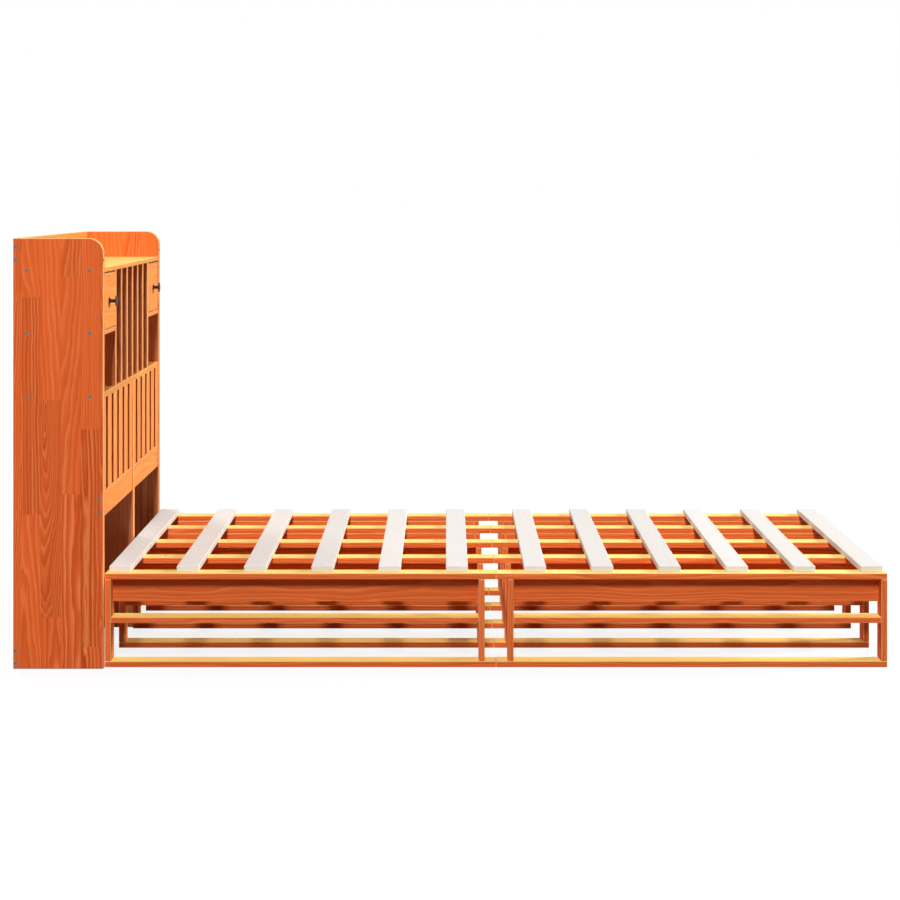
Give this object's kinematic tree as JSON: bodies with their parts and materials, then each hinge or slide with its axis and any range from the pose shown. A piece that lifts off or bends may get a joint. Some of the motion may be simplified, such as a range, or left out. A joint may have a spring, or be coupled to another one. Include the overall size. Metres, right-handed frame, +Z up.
{
  "type": "bookcase headboard bed",
  "caption": "Low slatted pine bed with a bookcase headboard: shelves, upright book slots, small drawers, a barred backrest and open lower compartments.",
  "frame": {"origin": "centre of the footprint, on the floor", "axes": "+X along the bed from the headboard to the foot end, +Z up, -Y is the left side seen from the foot end"},
  "size_m": [2.294, 0.955, 1.128],
  "materials": {
    "pine_orange": "satin honey-brown stain",
    "pine_pale": "bare planed",
    "knob_metal": "satin black",
    "screw_steel": "zinc"
  },
  "bodies": {
    "bed": {"centre_divider": "pine_orange", "top_shelf": "pine_orange", "mid_shelf": "pine_orange", "book_partitions": "pine_orange", "back_top_board": "pine_orange", "back_bottom_board": "pine_orange", "back_panel": "pine_orange", "side_panel_left": "pine_orange", "drawer_shelf_left": "pine_orange", "upper_divider_left": "pine_orange", "backrest_rail_left": "pine_orange", "backrest_bars_left": "pine_orange", "side_panel_right": "pine_orange", "drawer_shelf_right": "pine_orange", "upper_divider_right": "pine_orange", "backrest_rail_right": "pine_orange", "backrest_bars_right": "pine_orange", "panel_screws": "screw_steel", "connector_bolts": "screw_steel", "frame_1_rails": "pine_orange", "frame_1_posts": "pine_orange", "frame_1_aprons": "pine_orange", "frame_2_rails": "pine_orange", "frame_2_posts": "pine_orange", "frame_2_aprons": "pine_orange", "frame_3_rails": "pine_orange", "frame_3_posts": "pine_orange", "frame_3_aprons": "pine_orange", "frame_4_rails": "pine_orange", "frame_4_posts": "pine_orange", "frame_4_aprons": "pine_orange", "frame_5_rails": "pine_orange", "frame_5_posts": "pine_orange", "frame_5_aprons": "pine_orange", "slat_01": "pine_pale", "slat_02": "pine_pale", "slat_03": "pine_pale", "slat_04": "pine_pale", "slat_05": "pine_pale", "slat_06": "pine_pale", "slat_07": "pine_pale", "slat_08": "pine_pale", "slat_09": "pine_pale", "slat_10": "pine_pale", "slat_11": "pine_pale", "slat_12": "pine_pale"},
    "drawer_left": {"drawer_left_front": "pine_orange", "drawer_left_side_outer": "pine_orange", "drawer_left_side_inner": "pine_orange", "drawer_left_back": "pine_orange", "drawer_left_bottom": "pine_orange", "drawer_left_knob": "knob_metal", "drawer_left_knob_screw": "screw_steel"},
    "drawer_right": {"drawer_right_front": "pine_orange", "drawer_right_side_outer": "pine_orange", "drawer_right_side_inner": "pine_orange", "drawer_right_back": "pine_orange", "drawer_right_bottom": "pine_orange", "drawer_right_knob": "knob_metal", "drawer_right_knob_screw": "screw_steel"}
  },
  "joints": [
    {"name": "drawer_left_slide", "type": "slide", "parent": "bed", "child": "drawer_left", "axis": [1, 0, 0], "range_m": [0, 0.15]},
    {"name": "drawer_right_slide", "type": "slide", "parent": "bed", "child": "drawer_right", "axis": [1, 0, 0], "range_m": [0, 0.15]}
  ]
}
